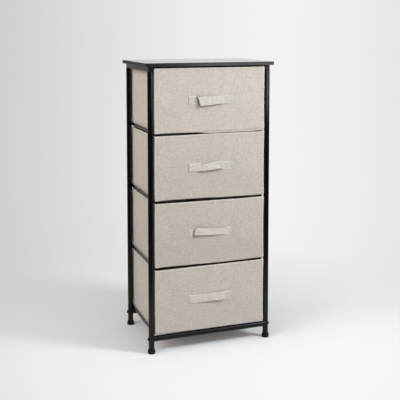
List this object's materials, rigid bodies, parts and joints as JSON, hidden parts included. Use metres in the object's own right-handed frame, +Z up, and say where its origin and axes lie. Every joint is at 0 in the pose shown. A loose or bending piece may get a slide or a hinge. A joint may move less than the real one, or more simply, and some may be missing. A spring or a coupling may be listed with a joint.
{
  "type": "fabric drawer dresser",
  "caption": "Tall narrow dresser with fabric drawers that slide on angle runners in a black steel tube frame under a laminated top.",
  "frame": {"origin": "on the floor, midway between the four feet", "axes": "+Z up; +Y towards the back; +X to the right of someone who faces the drawers"},
  "size_m": [0.45, 0.3056, 0.96],
  "materials": {
    "frame_coat": "satin black powder coat",
    "board_laminate": "black laminate on fibreboard, low sheen",
    "black_plastic": "matte moulded plastic",
    "insert_nylon": "plain nylon",
    "black_fastener": "black zinc",
    "linen_cover": "greige linen-look weave",
    "linen_strap": "greige linen-look weave, doubled",
    "lining_cloth": "pale non-woven cloth",
    "stiff_board": "bare hardboard"
  },
  "bodies": {
    "frame": {"top_board": "board_laminate", "top_rail_left": "frame_coat", "top_rail_right": "frame_coat", "cross_rail_front": "frame_coat", "cross_rail_rear": "frame_coat", "rail_plugs": "black_plastic", "board_screws": "black_fastener", "rail_inserts": "insert_nylon", "rail_bolts": "black_fastener", "post_front_left": "frame_coat", "post_front_right": "frame_coat", "post_rear_left": "frame_coat", "post_rear_right": "frame_coat", "foot_front_left": "black_plastic", "foot_front_right": "black_plastic", "foot_rear_left": "black_plastic", "foot_rear_right": "black_plastic", "runner_left_1": "frame_coat", "runner_right_1": "frame_coat", "runner_left_2": "frame_coat", "runner_right_2": "frame_coat", "runner_left_3": "frame_coat", "runner_right_3": "frame_coat", "runner_left_4": "frame_coat", "runner_right_4": "frame_coat"},
    "drawer_1": {"drawer_1_cover": "linen_cover", "drawer_1_lining": "lining_cloth", "drawer_1_front_board": "stiff_board", "drawer_1_base_board": "stiff_board", "drawer_1_handle": "linen_strap"},
    "drawer_2": {"drawer_2_cover": "linen_cover", "drawer_2_lining": "lining_cloth", "drawer_2_front_board": "stiff_board", "drawer_2_base_board": "stiff_board", "drawer_2_handle": "linen_strap"},
    "drawer_3": {"drawer_3_cover": "linen_cover", "drawer_3_lining": "lining_cloth", "drawer_3_front_board": "stiff_board", "drawer_3_base_board": "stiff_board", "drawer_3_handle": "linen_strap"},
    "drawer_4": {"drawer_4_cover": "linen_cover", "drawer_4_lining": "lining_cloth", "drawer_4_front_board": "stiff_board", "drawer_4_base_board": "stiff_board", "drawer_4_handle": "linen_strap"}
  },
  "joints": [
    {"name": "drawer_1_slide", "type": "slide", "parent": "frame", "child": "drawer_1", "axis": [0, -1, 0], "range_m": [0, 0.2]},
    {"name": "drawer_2_slide", "type": "slide", "parent": "frame", "child": "drawer_2", "axis": [0, -1, 0], "range_m": [0, 0.2]},
    {"name": "drawer_3_slide", "type": "slide", "parent": "frame", "child": "drawer_3", "axis": [0, -1, 0], "range_m": [0, 0.2]},
    {"name": "drawer_4_slide", "type": "slide", "parent": "frame", "child": "drawer_4", "axis": [0, -1, 0], "range_m": [0, 0.2]}
  ]
}
